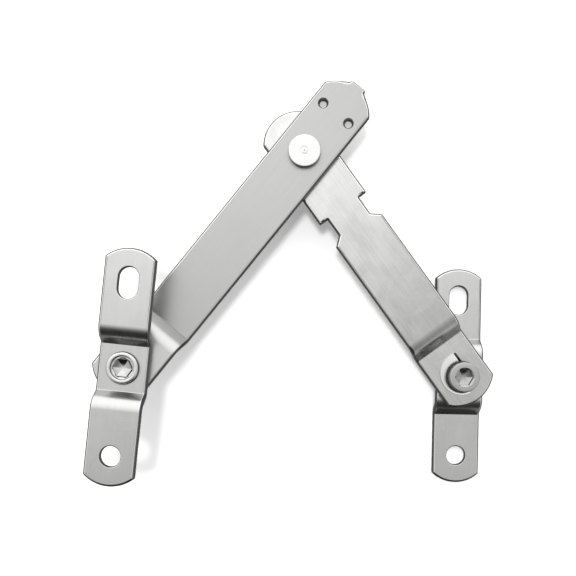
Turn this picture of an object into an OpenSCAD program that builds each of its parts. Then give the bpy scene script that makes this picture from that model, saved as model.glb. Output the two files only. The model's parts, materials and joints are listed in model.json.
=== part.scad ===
// Friction stay hinge for a window vent.
// Two screwed brackets, two pressed steel arms, a riveted elbow and two clamped end pivots.
// Origin: middle of the round screw hole of the frame bracket, on its mounting face.
// +Y runs along the frame bracket to its slot. +Z points from the mounting face into the stack.

/* [Steel strip] */
// Thickness of the strip that the brackets and arms are pressed from
plate_t = 2; // [1.6:0.1:2.6]
// Inside radius of every press bend
bend_r = 1; // [0.6:0.1:1.3]
// Slope of the step between two flats, in degrees
bend_a = 60; // [50:1:70]

/* [Brackets] */
// Width of each bracket
bracket_w = 13.6; // [12:0.1:18]
// Distance from the round screw hole to the middle of the slot
screw_pitch = 46; // [40:0.5:60]
// From the round screw hole to the tip of that end
hole_end = 8; // [7:0.1:12]
// From the middle of the slot to the tip of that end
slot_end = 9.3; // [8:0.1:14]
// How far the pivot lies past the middle of the bracket, towards the slot
seat_offset = 0.4; // [-2:0.1:2]
// Radius of the arc that ends each bracket
bracket_end_r = 10; // [10:0.5:16]
// Height of the pivot seat above the mounting pads
bracket_rise = 4; // [3.4:0.1:6]
// Flat seat left showing on each side of the friction washer
seat_margin = 0.65; // [0.2:0.05:2]
// Diameter of the round screw hole and width of the slot
screw_hole_d = 5.5; // [4:0.1:6]
// Length of the slot from end to end
slot_l = 8.5; // [7:0.1:10.5]

/* [Arms] */
// Width of each arm
arm_w = 16; // [14:0.5:19]
// Distance between the two pivots of an arm
pivot_pitch = 77.3; // [65:0.1:120]
// Height of the step between an arm and its end pad
arm_rise = 4.9; // [4.6:0.1:7]
// From an end pivot to the tip of its pad
pad_end = 8.2; // [7.5:0.1:12]
// Radius of the arc that ends the pad
pad_end_r = 11; // [10:0.1:16]
// From an end pivot to the middle of the step
step_at = 13.6; // [12.4:0.1:18]
// Radius of the arc at the free end of each arm
tip_r = 9.8; // [9.8:0.1:16]
// From the elbow to the tip of the notched arm
notched_tip = 13; // [9:0.5:15]

/* [Opening stop] */
// From the elbow to the outer face of the bent tab
tab_reach = 24.05; // [22:0.05:30]
// How far the tab stands past the tip of the stop arm
tab_proud = 1.05; // [0.6:0.05:1.6]
// Width of the bent tab
tab_w = 5.1; // [3.5:0.1:6]
// Inside radius of the tab's bend
tab_bend_r = 0.3; // [0.1:0.05:0.6]
// Width of the relief cut on each side of the tab
relief_w = 0.8; // [0.5:0.1:1.2]
// Gap under the tab to the lower face of the notched arm
tab_lift = 0.3; // [0:0.1:1]
// Clearance from the tab to the square side of the notches
notch_gap_near = 3.4; // [1:0.1:5]
// Clearance from the tab to the foot of the slanted side of the notches
notch_gap_far = 0.15; // [0.15:0.05:4]
// How far the slanted side leans over
notch_lean = 2.1; // [0:0.1:4]
// Depth of each notch
notch_depth = 2.6; // [1.5:0.1:4]
// From the elbow to the two punched pips
pip_at = 13.8; // [10:0.1:15]
// Distance of each pip from the middle line
pip_side = 4.5; // [3:0.1:5.5]
// Diameter of a pip at its mouth
pip_d = 3; // [2:0.1:3.4]
// Depth of a pip
pip_depth = 1.2; // [0.6:0.1:1.3]
// Diameter of the flat floor of a pip
pip_floor_d = 2; // [1:0.1:2]
// How far a pip stands out of the far face
pip_out = 0.25; // [0:0.05:0.3]

/* [End pivots] */
// Outer diameter of the barrel nut's sleeve, on which the arm turns
sleeve_d = 7; // [6.5:0.1:8]
// Diameter of the barrel nut's head
nut_head_d = 9.1; // [8.6:0.1:11]
// Height of the barrel nut's head
nut_head_h = 1.3; // [1:0.1:1.8]
// How far the sleeve stops short of the arm's outer face, so that the spring presses on the arm
sleeve_short = 0.2; // [0.1:0.05:0.5]
// Diameter of the round mouth in the barrel nut's head
nut_mouth_d = 6.3; // [5.4:0.1:7]
// Depth of that round mouth
nut_mouth_h = 0.8; // [0.4:0.1:1]
// Diameter of the pivot screw
screw_d = 5; // [4:0.1:5.4]
// Diameter of the pivot screw's head
screw_head_d = 8.5; // [8:0.1:10]
// Height of the pivot screw's head
screw_head_h = 3.5; // [2.5:0.1:3.8]
// Hexagon sockets, across the flats
socket_af = 4.5; // [3:0.1:4.5]
// Width of the cone that leads into the screw's socket, past the hexagon's corners
socket_lead = 0.15; // [0:0.05:0.4]
// Depth of the socket in the screw's head
socket_h = 2.2; // [1.5:0.1:2.4]
// Outer diameter of the spring washer
spring_d = 9.2; // [8.6:0.1:9.6]
// Thickness of the spring washer
spring_t = 1.2; // [0.8:0.1:1.2]
// Width of the gap in the spring washer
spring_gap = 0.9; // [0.5:0.1:1.5]
// Where the gap stands around the spring washer, in degrees
spring_gap_at = -8; // [-180:1:180]
// Outer diameter of the friction washer at an end pivot
pivot_washer_d = 11; // [9.5:0.1:12]
// Thickness of every friction washer
washer_t = 0.5; // [0.4:0.05:0.8]

/* [Spring lip] */
// Width of the slit beside each end pivot
slit_w = 0.65; // [0.4:0.05:1]
// Distance of the slit from the arm's middle line
slit_side = 2.2; // [1.5:0.05:3]
// From the pivot to the far end of the slit
slit_reach = 6.6; // [6:0.05:7.5]
// Radius of the raised lip
lip_r = 6.2; // [5.6:0.1:6.6]
// How far the lip's centre lies from the pivot, towards the elbow
lip_shift = 0.9; // [0.4:0.1:1.2]
// How far the lip's centre lies from the arm's middle line, towards the slit
lip_side = 0.6; // [0:0.1:0.8]
// Slope of the lip, in degrees
lip_slope = 6; // [2:0.5:8]
// Gap between the lip and the spring washer inside it
lip_gap = 0.15; // [0.1:0.05:0.5]

/* [Elbow] */
// Diameter of the rivet's shank
rivet_d = 5; // [4:0.1:6]
// Diameter of the rivet's flat head
rivet_head_d = 8.9; // [8:0.1:11]
// Height of the rivet's flat head
rivet_head_h = 1.7; // [1:0.1:2.4]
// Diameter of the rivet's peened tail
tail_d = 7.6; // [7:0.1:9]
// Height of the rivet's peened tail
tail_h = 1.2; // [0.8:0.1:2]
// Diameter of the friction washer between the arms
elbow_washer_d = 12; // [9.5:0.1:14]
// Outer diameter of the disc spring under the notched arm
disc_d = 11; // [9.5:0.1:13]
// Thickness of the disc spring's metal
disc_t = 0.5; // [0.4:0.05:0.8]
// Height of the cone of the disc spring
disc_cone = 0.4; // [0.2:0.05:0.8]
// Outer diameter of the tail washer
tail_washer_d = 10; // [8.8:0.1:12]
// Thickness of the tail washer
tail_washer_t = 0.8; // [0.5:0.1:1.5]

/* [Clearances] */
// Radial gap of everything that turns
run_gap = 0.05; // [0.02:0.01:0.1]
// Radial gap of the screw in the barrel nut
thread_gap = 0.02; // [0.01:0.01:0.05]
// Small broken edge on turned parts
edge = 0.3; // [0.1:0.05:0.4]

/* [Pose] */
// Turn of the notched arm from the frame bracket, in degrees
arm_lean = 36.9; // [0:0.1:90]
// Angle between the two arms at the elbow, in degrees
elbow_open = 74.8; // [0:0.1:155]
// Turn of the sash bracket from the stop arm, in degrees
sash_turn = 33.1; // [-90:0.1:90]

/* [Hidden] */
$fn = 72;
steel = [0.78, 0.78, 0.76];
bright_steel = [0.88, 0.88, 0.87];
nylon = [0.15, 0.15, 0.16];
spring_steel = [0.62, 0.63, 0.64];

// Overshoot that carries a cut clean past a face
over = 1;
// Sinking of one cut into the next, so that no skin is left between them
skin = 0.01;
// Steps in each press bend
bend_steps = 8;
// Radius of a press bend along the middle of the strip
mid_r = bend_r + plate_t / 2;

// The stack, from the frame bracket's mounting face up
pad_z = bracket_rise + plate_t + washer_t;
arm_z = pad_z + arm_rise;
elbow_washer_z = arm_z + plate_t;
stop_z = elbow_washer_z + washer_t;
// Height of the whole stay, from one mounting face to the other
stack_h = stop_z + arm_z + plate_t;

pivot_y = screw_pitch / 2 + seat_offset;
seat_flat = pivot_washer_d + 2 * seat_margin;
sleeve_r = sleeve_d / 2;
turn_r = sleeve_r + run_gap;
rivet_hole_r = rivet_d / 2 + run_gap;
slit_end_y = slit_reach - slit_w / 2;

// Where the nut's hexagon ends and its thread starts
hex_top = bracket_rise + plate_t / 3;

// Where the tab meets the notches, from the elbow
stop_tip = tab_reach - tab_proud;
tab_bend_y = tab_reach - plate_t - tab_bend_r;
notch_near = tab_reach - plate_t - notch_gap_near;
notch_far = tab_reach + notch_gap_far;

// Length, along the strip, of a step of the given height
function step_run(rise) =
    2 * mid_r * sin(bend_a) + (rise - 2 * mid_r * (1 - cos(bend_a))) / tan(bend_a);

// One face of a step that climbs towards +Y. The step's middle is at y, the strip's middle plane
// starts at z, and side is +1 for the upper face or -1 for the lower one.
function step_face(y, z, rise, side) =
    let (run = step_run(rise), s = side * plate_t / 2, da = bend_a / bend_steps)
    concat(
        [for (i = [0 : bend_steps])
            [y - run / 2 + (mid_r - s) * sin(i * da), z + mid_r - (mid_r - s) * cos(i * da)]],
        [for (i = [bend_steps : -1 : 0])
            [y + run / 2 - (mid_r + s) * sin(i * da), z + rise - mid_r + (mid_r + s) * cos(i * da)]]
    );

function reversed(list) = [for (i = [len(list) - 1 : -1 : 0]) list[i]];

// Extrudes an outline drawn in Y and Z across the strip, centred on the middle line
module across(width) {
    rotate([90, 0, 90])
        translate([0, 0, -width / 2])
            linear_extrude(height = width) children();
}

// A tall strip from y0 to y1, whose two ends are arcs. It trims a profile to its outline.
module strip_outline(width, y0, y1, r0, r1, height) {
    intersection() {
        translate([-width / 2, y0, 0]) cube([width, y1 - y0, height]);
        union() {
            translate([0, y0 + r0, 0]) cylinder(r = r0, h = height);
            translate([-width, y0 + r0, 0]) cube([2 * width, y1 - y0, height]);
        }
        union() {
            translate([0, y1 - r1, 0]) cylinder(r = r1, h = height);
            translate([-width, y0 - r1, 0]) cube([2 * width, y1 - y0, height]);
        }
    }
}

// Turns the frame side's parts over to make the sash side's
module turned_over() {
    translate([0, 0, stack_h]) rotate([0, 180, 0]) children();
}

// A washer from z to z + t
module ring(outer_d, inner_r, z, t) {
    translate([0, 0, z])
        difference() {
            cylinder(d = outer_d, h = t);
            translate([0, 0, -over]) cylinder(r = inner_r, h = t + 2 * over);
        }
}

// ---- Places of the moving pieces ----

// The frame pivot, with +Y towards the elbow
module on_notched_arm() {
    translate([0, pivot_y, 0]) rotate(arm_lean) children();
}

module at_elbow() {
    on_notched_arm() translate([0, pivot_pitch, 0]) children();
}

// The sash pivot, with +Y towards the elbow
module on_stop_arm() {
    at_elbow() rotate(-elbow_open) translate([0, -pivot_pitch, 0]) children();
}

// The sash pivot, with +Y along the sash bracket to its slot
module on_sash_bracket() {
    on_stop_arm() rotate(sash_turn) children();
}

// ---- Brackets ----

// Side view of a bracket about its pivot: pad, step up, seat, step down, pad
module bracket_profile() {
    half_run = step_run(bracket_rise) / 2;
    step_at = -seat_flat / 2 - half_run;
    foot = screw_pitch + max(hole_end, slot_end);
    z = plate_t / 2;
    upper = step_face(step_at, z, bracket_rise, 1);
    lower = step_face(step_at, z, bracket_rise, -1);
    polygon(concat(
        [[-foot, plate_t]], upper,
        [for (p = reversed(upper)) [-p[0], p[1]]], [[foot, plate_t]],
        [[foot, 0]], [for (p = lower) [-p[0], p[1]]],
        reversed(lower), [[-foot, 0]]
    ));
}

// A bracket about its pivot, lying on its mounting pads, with the slot towards +Y
module bracket() {
    slot_half = (slot_l - screw_hole_d) / 2;
    slot_y = screw_pitch - pivot_y;
    height = bracket_rise + plate_t + over;
    difference() {
        intersection() {
            across(bracket_w) bracket_profile();
            translate([0, 0, -over])
                strip_outline(bracket_w, -pivot_y - hole_end, slot_y + slot_end,
                              bracket_end_r, bracket_end_r, height + over);
        }
        translate([0, 0, -over]) cylinder(r = turn_r, h = height + 2 * over);
        translate([0, -pivot_y, -over]) cylinder(d = screw_hole_d, h = height + 2 * over);
        translate([0, slot_y, -over])
            for (side = [-1, 1])
                translate([0, side * slot_half, 0]) cylinder(d = screw_hole_d, h = height + 2 * over);
        translate([-screw_hole_d / 2, slot_y - slot_half, -over])
            cube([screw_hole_d, 2 * slot_half, height + 2 * over]);
    }
}

// ---- Arms ----

// Side view of an arm about its end pivot: low pad, step up, long flat
module arm_profile(tip) {
    foot = pad_end + over;
    z = pad_z + plate_t / 2;
    end_y = pivot_pitch + tip;
    polygon(concat(
        [[-foot, pad_z + plate_t]], step_face(step_at, z, arm_rise, 1), [[end_y, arm_z + plate_t]],
        [[end_y, arm_z]], reversed(step_face(step_at, z, arm_rise, -1)), [[-foot, pad_z]]
    ));
}

// The slit beside the end pivot, with a round far end
module slit() {
    translate([slit_side, 0, pad_z - over]) {
        translate([-slit_w / 2, 0, 0]) cube([slit_w, slit_end_y, plate_t + 2 * over]);
        translate([0, slit_end_y, 0]) cylinder(d = slit_w, h = plate_t + 2 * over);
    }
}

// The spring lip: a disc sunk in the pad and tilted, highest beside the slit
module spring_lip() {
    difference() {
        translate([lip_side, lip_shift, pad_z + plate_t])
            rotate([lip_slope, 0, 0])
                translate([0, 0, -plate_t / 2]) cylinder(r = lip_r, h = plate_t / 2);
        translate([0, 0, pad_z]) cylinder(d = spring_d + 2 * lip_gap, h = 2 * plate_t);
        translate([slit_side - slit_w / 2, -arm_w, pad_z - over])
            cube([arm_w, 2 * arm_w, 3 * plate_t]);
    }
}

// An arm about its end pivot, with the elbow towards +Y
module arm_blank(tip) {
    difference() {
        union() {
            intersection() {
                across(arm_w) arm_profile(tip);
                translate([0, 0, pad_z - over])
                    strip_outline(arm_w, -pad_end, pivot_pitch + tip, pad_end_r, tip_r,
                                  arm_rise + plate_t + 2 * over);
            }
            spring_lip();
        }
        translate([0, 0, pad_z - over]) cylinder(r = turn_r, h = plate_t + 2 * over);
        translate([0, pivot_pitch, arm_z - over]) cylinder(r = rivet_hole_r, h = plate_t + 2 * over);
        slit();
    }
}

// One notch of the notched arm, cut into the edge on the given side
module notch(side) {
    neck = arm_w / 2 - notch_depth;
    edge_x = arm_w / 2 + over;
    lean = notch_lean * (edge_x - neck) / notch_depth;
    translate([0, pivot_pitch, arm_z - over])
        linear_extrude(height = plate_t + 2 * over)
            polygon([
                [side * neck, -notch_near], [side * edge_x, -notch_near],
                [side * edge_x, -notch_far - lean], [side * neck, -notch_far]
            ]);
}

// The stop arm's tab, bent out of the strip in an arc about the edge of the strip.
// The arm is drawn turned over, so the tab climbs.
module tab() {
    y0 = pivot_pitch + tab_bend_y;
    foot = arm_z + plate_t + tab_bend_r;
    top = stack_h - arm_z - tab_lift;
    steps = [0 : bend_steps];
    quarter = 90 / bend_steps;
    outside = tab_bend_r + plate_t;
    across(tab_w)
        polygon(concat(
            [[y0 - over, arm_z]],
            [for (i = steps) [y0 + outside * sin(i * quarter), foot - outside * cos(i * quarter)]],
            [[y0 + outside, top], [y0 + tab_bend_r, top]],
            reversed([for (i = steps)
                [y0 + tab_bend_r * sin(i * quarter), foot - tab_bend_r * cos(i * quarter)]]),
            [[y0 - over, arm_z + plate_t]]
        ));
}

// A punched pip: a blind cone from the lower face, drawn turned over
module pip_hollow() {
    translate([0, 0, arm_z - skin]) cylinder(d1 = pip_d, d2 = pip_floor_d, h = pip_depth);
}

// The small boss that the pip raises on the other face
module pip_boss() {
    if (pip_out > 0)
        translate([0, 0, arm_z + plate_t / 2])
            cylinder(d = (pip_d + pip_floor_d) / 2, h = plate_t / 2 + pip_out);
}

// ---- Pivot hardware, about the pivot, on the frame side ----

module hexagon(z, h) {
    translate([0, 0, z]) cylinder(d = socket_af / cos(30), h = h, $fn = 6);
}

// A turned disc from z to z + h with one broken edge, at its top or its bottom
module turned_disc(d, z, h, top) {
    translate([0, 0, z + (top ? 0 : h)]) mirror([0, 0, top ? 0 : 1]) {
        cylinder(d = d, h = h - edge);
        translate([0, 0, h - edge]) cylinder(d1 = d, d2 = d - 2 * edge, h = edge);
    }
}

module barrel_nut() {
    foot = bracket_rise - nut_head_h;
    sleeve_top = pad_z + plate_t - sleeve_short;
    difference() {
        union() {
            turned_disc(nut_head_d, foot, nut_head_h, false);
            translate([0, 0, foot + edge]) cylinder(r = sleeve_r, h = sleeve_top - foot - edge);
        }
        translate([0, 0, foot - over]) cylinder(d = nut_mouth_d, h = nut_mouth_h + over);
        hexagon(foot, hex_top - foot);
        translate([0, 0, hex_top - skin])
            cylinder(r = screw_d / 2 + thread_gap, h = sleeve_top - hex_top + over);
    }
}

module pivot_washer() {
    ring(pivot_washer_d, turn_r, bracket_rise + plate_t, washer_t);
}

module spring_washer() {
    z = pad_z + plate_t;
    difference() {
        ring(spring_d, screw_d / 2 + 2 * run_gap, z, spring_t);
        rotate(spring_gap_at)
            translate([0, -spring_gap / 2, z - over])
                cube([spring_d, spring_gap, spring_t + 2 * over]);
    }
}

module pivot_screw() {
    head_z = pad_z + plate_t + spring_t;
    tip_z = hex_top + run_gap;
    top_z = head_z + screw_head_h;
    corner_r = socket_af / 2 / cos(30);
    difference() {
        union() {
            turned_disc(screw_head_d, head_z, screw_head_h, true);
            turned_disc(screw_d, tip_z, head_z - tip_z + edge, false);
        }
        hexagon(top_z - socket_h, socket_h + over);
        if (socket_lead > 0)
            translate([0, 0, top_z - socket_lead])
                cylinder(r1 = corner_r, r2 = corner_r + 2 * socket_lead, h = 2 * socket_lead);
    }
}

// ---- Elbow hardware, about the elbow ----

module rivet() {
    head_z = stop_z + plate_t;
    tail_z = arm_z - disc_t - disc_cone - tail_washer_t - tail_h;
    turned_disc(rivet_head_d, head_z, rivet_head_h, true);
    translate([0, 0, tail_z + tail_h - edge]) cylinder(d = rivet_d, h = head_z - tail_z - tail_h + 2 * edge);
    turned_disc(tail_d, tail_z, tail_h, false);
}

module disc_spring() {
    foot = arm_z - disc_t - disc_cone;
    inner = rivet_hole_r;
    outer = disc_d / 2;
    rotate_extrude()
        polygon([
            [inner, foot], [outer, foot + disc_cone],
            [outer, foot + disc_cone + disc_t], [inner, foot + disc_t]
        ]);
}

module tail_washer() {
    ring(tail_washer_d, rivet_hole_r, arm_z - disc_t - disc_cone - tail_washer_t, tail_washer_t);
}

// ---- Nodes ----

module frame_bracket() {
    color(steel) translate([0, pivot_y, 0]) bracket();
}

module frame_barrel_nut() {
    color(bright_steel) translate([0, pivot_y, 0]) barrel_nut();
}

module frame_friction_washer() {
    color(nylon) translate([0, pivot_y, 0]) pivot_washer();
}

module frame_spring_washer() {
    color(spring_steel) translate([0, pivot_y, 0]) spring_washer();
}

module frame_pivot_screw() {
    color(bright_steel) translate([0, pivot_y, 0]) pivot_screw();
}

module notched_arm() {
    color(steel)
        on_notched_arm()
            difference() {
                arm_blank(notched_tip);
                notch(-1);
                notch(1);
            }
}

module stop_arm() {
    relief_y = pivot_pitch + tab_bend_y - relief_w / 4;
    color(steel)
        on_stop_arm()
            turned_over()
                difference() {
                    union() {
                        difference() {
                            arm_blank(stop_tip);
                            translate([-tab_w / 2 - relief_w, relief_y, arm_z - over])
                                cube([tab_w + 2 * relief_w, stop_tip, plate_t + 2 * over]);
                        }
                        tab();
                        for (side = [-1, 1])
                            translate([side * pip_side, pivot_pitch + pip_at, 0]) pip_boss();
                    }
                    for (side = [-1, 1])
                        translate([side * pip_side, pivot_pitch + pip_at, 0]) pip_hollow();
                }
}

module elbow_rivet() {
    color(bright_steel) at_elbow() rivet();
}

module elbow_friction_washer() {
    color(nylon) at_elbow() ring(elbow_washer_d, rivet_hole_r, elbow_washer_z, washer_t);
}

module elbow_disc_spring() {
    color(spring_steel) at_elbow() disc_spring();
}

module elbow_tail_washer() {
    color(steel) at_elbow() tail_washer();
}

module sash_bracket() {
    color(steel) on_sash_bracket() turned_over() bracket();
}

module sash_barrel_nut() {
    color(bright_steel) on_sash_bracket() turned_over() barrel_nut();
}

module sash_friction_washer() {
    color(nylon) on_sash_bracket() turned_over() pivot_washer();
}

module sash_spring_washer() {
    color(spring_steel) on_sash_bracket() turned_over() spring_washer();
}

module sash_pivot_screw() {
    color(bright_steel) on_sash_bracket() turned_over() pivot_screw();
}

frame_bracket();
frame_barrel_nut();
frame_friction_washer();
frame_spring_washer();
frame_pivot_screw();
notched_arm();
stop_arm();
elbow_rivet();
elbow_friction_washer();
elbow_disc_spring();
elbow_tail_washer();
sash_bracket();
sash_barrel_nut();
sash_friction_washer();
sash_spring_washer();
sash_pivot_screw();
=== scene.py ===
"""Looks of a friction stay hinge for a window vent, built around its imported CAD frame."""

import json
import math

import bmesh
import bpy
from bpy.props import FloatProperty, FloatVectorProperty, PointerProperty
from bpy.types import Operator, Panel, PropertyGroup
from mathutils import Matrix, Vector


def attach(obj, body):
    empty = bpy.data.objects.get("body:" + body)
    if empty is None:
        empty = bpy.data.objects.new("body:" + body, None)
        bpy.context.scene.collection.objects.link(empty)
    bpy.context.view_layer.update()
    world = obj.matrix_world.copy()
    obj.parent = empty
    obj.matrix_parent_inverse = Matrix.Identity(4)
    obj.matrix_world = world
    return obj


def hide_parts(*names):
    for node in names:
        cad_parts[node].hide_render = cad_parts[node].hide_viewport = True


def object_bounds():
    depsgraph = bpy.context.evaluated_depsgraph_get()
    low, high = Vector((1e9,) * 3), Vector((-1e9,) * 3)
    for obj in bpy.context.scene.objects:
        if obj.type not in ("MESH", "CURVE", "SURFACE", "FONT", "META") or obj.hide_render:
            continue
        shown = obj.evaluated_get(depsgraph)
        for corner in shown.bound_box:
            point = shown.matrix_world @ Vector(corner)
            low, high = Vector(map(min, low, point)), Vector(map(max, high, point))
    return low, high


bl_info = {
    "name": "Friction stay hinge",
    "version": (1, 0, 0),
    "blender": (4, 5, 0),
    "location": "View3D > Sidebar > Hinge",
    "description": "Builds the pressed, turned and moulded pieces of a friction stay hinge",
    "category": "Object",
}

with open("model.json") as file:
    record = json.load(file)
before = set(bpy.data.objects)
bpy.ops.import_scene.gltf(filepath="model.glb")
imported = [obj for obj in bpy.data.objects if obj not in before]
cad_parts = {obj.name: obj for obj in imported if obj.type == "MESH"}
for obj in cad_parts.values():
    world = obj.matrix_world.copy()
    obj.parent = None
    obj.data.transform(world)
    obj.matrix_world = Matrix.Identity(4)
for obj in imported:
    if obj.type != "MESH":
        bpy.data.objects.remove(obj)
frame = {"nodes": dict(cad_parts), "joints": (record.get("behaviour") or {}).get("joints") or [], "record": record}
CAD_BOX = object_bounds()

MM = 0.001
# Points in a full turn of a spun piece: a multiple of six, so that some fall on hexagon corners
TURN = 96
# Cuts across each press bend
BEND_CUTS = 10
# Slopes this close to flat or to a step's full slope, in radians, are outside the bend
ALMOST = 0.01
# Facets across a rounded edge
EDGE_FACETS = 6
# A point nearer to a cut than this counts as on it
WELD = 1e-7
# A corner that turns by more than this gets rounded, or stays a crisp edge when shaded
CRISP = math.radians(32)
# Depth by which one part of a piece is sunk in another
SUNK = 0.15 * MM
# Shortest part of a profile whose slope is trusted
TINY = 0.015 * MM
# Tones, as shares of the metal's colour: a painted highlight on the rolled edges of the strip, and painted shade
# on its sheared walls
EDGE_HIGHLIGHT_TONE = 1.3
WALL_SHADE_TONE = 0.2
# Nearly all of a noise texture's values lie in this range
MOST_NOISE = {"From Min": 0.3, "From Max": 0.7}
# How much painted shade the walls of pips and of hexagon sockets take, as shares of the sheared walls' painted
# shade
PIP_SHADE = 0.85
SOCKET_SHADE = 0.4

JOINTS = {joint["name"]: Vector(joint["pos_m"]) for joint in frame["joints"]}
MOUNTS = {mount["name"]: mount for mount in frame["record"]["mounts"]}
STACK_TOP = MOUNTS["sash_face"]["pos_m"][2]
STRIP_T = MOUNTS["frame_screw_hole"]["dims"]["length_mm"] * MM
SCREW_HOLE_R = MOUNTS["frame_screw_hole"]["dims"]["r_mm"] * MM


# ---- Colour and number helpers ----

def linear(hex_colour):
    """Linear RGB of an sRGB hex colour."""
    channels = [int(hex_colour[i:i + 2], 16) / 255 for i in (1, 3, 5)]
    return [c / 12.92 if c <= 0.04045 else ((c + 0.055) / 1.055) ** 2.4 for c in channels]


def length(name, description, millimetres):
    return FloatProperty(name=name, description=description, default=millimetres * MM,
                         min=0, unit="LENGTH", subtype="DISTANCE", precision=5)


def angle(name, description, degrees):
    return FloatProperty(name=name, description=description, default=math.radians(degrees),
                         unit="ROTATION", subtype="ANGLE")


def colour(name, description, hex_colour):
    return FloatVectorProperty(name=name, description=description, default=linear(hex_colour),
                               min=0, max=1, size=3, subtype="COLOR")


# ---- Sizes and colours a user may change ----

class StripSizes(PropertyGroup):
    bend_r: length("Bend radius", "Inside radius of a step's soft bend", 2.4)
    fold_r: length("Fold radius", "Inside radius of a step's sharp bend", 0.4)
    bend_a: angle("Bend slope", "Slope of the step between two flats", 58)
    die_roll: length("Die roll", "Rounding of the edges on the punch side", 0.7)
    burr_side: length("Burr side", "Rounding of the edges on the die side", 0.2)
    hole_roll: length("Hole roll", "Rounding of the punched holes", 0.3)
    corner_r: length("Corner radius", "Rounding of the outline's corners", 0.3)


class BracketSizes(PropertyGroup):
    end_r: length("End radius", "Radius of the arc that ends each bracket", 10)
    slot_l: length("Slot length", "Length of the slot from end to end", 8.5)
    seat_margin: length("Seat margin", "Flat seat beside the friction washer", 0.65)


class ArmSizes(PropertyGroup):
    pad_end_r: length("Pad end radius", "Radius of the arc that ends the pad", 11)
    tip_r: length("Tip radius", "Radius of the arc at the free end", 9.8)
    step_at: length("Step place", "From an end pivot to the middle of the step", 13.6)
    bore_gap: length("Bore gap", "Radial gap of the arm on what it turns on", 0.05)
    slit_w: length("Slit width", "Width of the slit beside the end pivot", 0.65)
    slit_side: length("Slit place", "Distance of the slit from the middle line", 2.2)
    slit_reach: length("Slit reach", "From the pivot to the far end of the slit", 6.6)
    lip_r: length("Lip radius", "Radius of the raised spring lip", 6.2)
    lip_shift: length("Lip shift", "How far the lip's centre lies towards the elbow", 0.9)
    lip_side: length("Lip side", "How far the lip's centre lies towards the slit", 0.6)
    lip_lift: length("Lip lift", "Height of the lip beside the slit", 0.9)
    lip_sweep: angle("Lip sweep", "How far round the pivot the lip runs out", 195)


class StopSizes(PropertyGroup):
    tab_w: length("Tab width", "Width of the bent tab", 5.1)
    tab_proud: length("Tab proud", "How far the tab stands past the arm's tip", 1.05)
    tab_bend_r: length("Tab bend", "Inside radius of the tab's bend", 0.3)
    tab_corner: length("Tab corner", "Outside radius of the tab's coined corner", 0.7)
    notch_near: length("Notch near", "From the elbow to the square side of a notch", 18.65)
    notch_far: length("Notch far", "From the elbow to the foot of the slanted side", 24.2)
    notch_lean: length("Notch lean", "How far the slanted side leans over", 2.1)
    notch_depth: length("Notch depth", "Depth of each notch", 2.6)
    pip_at: length("Pip place", "From the elbow to the punched pips", 13.8)
    pip_side: length("Pip side", "Distance of each pip from the middle line", 4.5)
    pip_d: length("Pip width", "Width of a pip at its mouth", 3)
    pip_floor_d: length("Pip floor", "Width of the flat floor of a pip", 2)
    pip_depth: length("Pip depth", "Depth of a pip", 1.2)


class PivotSizes(PropertyGroup):
    sleeve_r: length("Sleeve radius", "Radius of the barrel nut's sleeve", 3.5)
    nut_mouth_r: length("Nut mouth", "Radius of the mouth in the barrel nut's head", 3.15)
    nut_mouth_h: length("Nut mouth depth", "Depth of that mouth", 0.8)
    socket_af: length("Socket size", "Hexagon sockets, across the flats", 4.5)
    socket_h: length("Socket depth", "Depth of the socket in the screw's head", 2.2)
    drill_a: angle("Drill slope", "Slope of the cone that the drill leaves in a hole", 30)
    screw_r: length("Screw radius", "Radius of the pivot screw", 2.5)
    spring_gap: length("Spring gap", "Width of the gap in a spring washer", 0.9)
    rivet_r: length("Rivet radius", "Radius of the elbow rivet's shank", 2.5)
    rivet_head_h: length("Rivet head", "Height of the elbow rivet's flat head", 1.7)
    rivet_tail_r: length("Rivet tail radius", "Radius of the peened tail", 3.8)
    rivet_tail_h: length("Rivet tail height", "Height of the peened tail", 1.2)


class Finishes(PropertyGroup):
    strip: colour("Pressed strip", "Colour of the pressed stainless strip", "#C4C4C3")
    bright: colour("Turned stainless", "Colour of the nuts, screws and rivet", "#CECECD")
    screw: colour("Socket screws", "Colour of the pivot screws", "#A6A6A4")
    spring: colour("Spring steel", "Colour of the spring washers", "#949491")
    nylon: colour("Nylon", "Colour of the friction washers", "#2B2B2D")
    floor: colour("Floor", "Colour of the studio floor", "#F8F8F8")


GROUPS = {
    "hinge_strip": StripSizes, "hinge_bracket": BracketSizes, "hinge_arm": ArmSizes,
    "hinge_stop": StopSizes, "hinge_pivot": PivotSizes, "hinge_finish": Finishes,
}


# ---- Places ----

def place(origin, towards, side):
    """Resting place of a piece. Its origin lies on its own side's mounting face, +Y points
    towards a second point and +Z into the stack. side is 1 for the frame, -1 for the sash."""
    y = Vector((towards.x - origin.x, towards.y - origin.y, 0)).normalized()
    z = Vector((0, 0, side))
    home = Matrix((y.cross(z), y, z)).transposed().to_4x4()
    home.translation = (origin.x, origin.y, 0 if side > 0 else STACK_TOP)
    return home


def mount_at(name):
    return Vector(MOUNTS[name]["pos_m"])


ON_FRAME = place(JOINTS["frame_pivot"], mount_at("frame_slot"), 1)
ON_SASH = place(JOINTS["sash_pivot"], mount_at("sash_slot"), -1)
ON_NOTCHED_ARM = place(JOINTS["frame_pivot"], JOINTS["elbow"], 1)
ON_STOP_ARM = place(JOINTS["sash_pivot"], JOINTS["elbow"], -1)
AT_ELBOW = place(JOINTS["elbow"], 2 * JOINTS["elbow"] - JOINTS["frame_pivot"], 1)
PIVOT_PITCH = (JOINTS["elbow"] - JOINTS["frame_pivot"]).xy.length
SIDES = {"frame": (ON_FRAME, "frame_side"), "sash": (ON_SASH, "sash_side")}


def reach(node, home):
    """Lowest and highest corner of a CAD node, measured in a piece's own place."""
    back = home.inverted()
    points = [back @ v.co for v in frame["nodes"][node].data.vertices]
    return [Vector([end(p[i] for p in points) for i in range(3)]) for end in (min, max)]


# ---- Outlines ----

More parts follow.
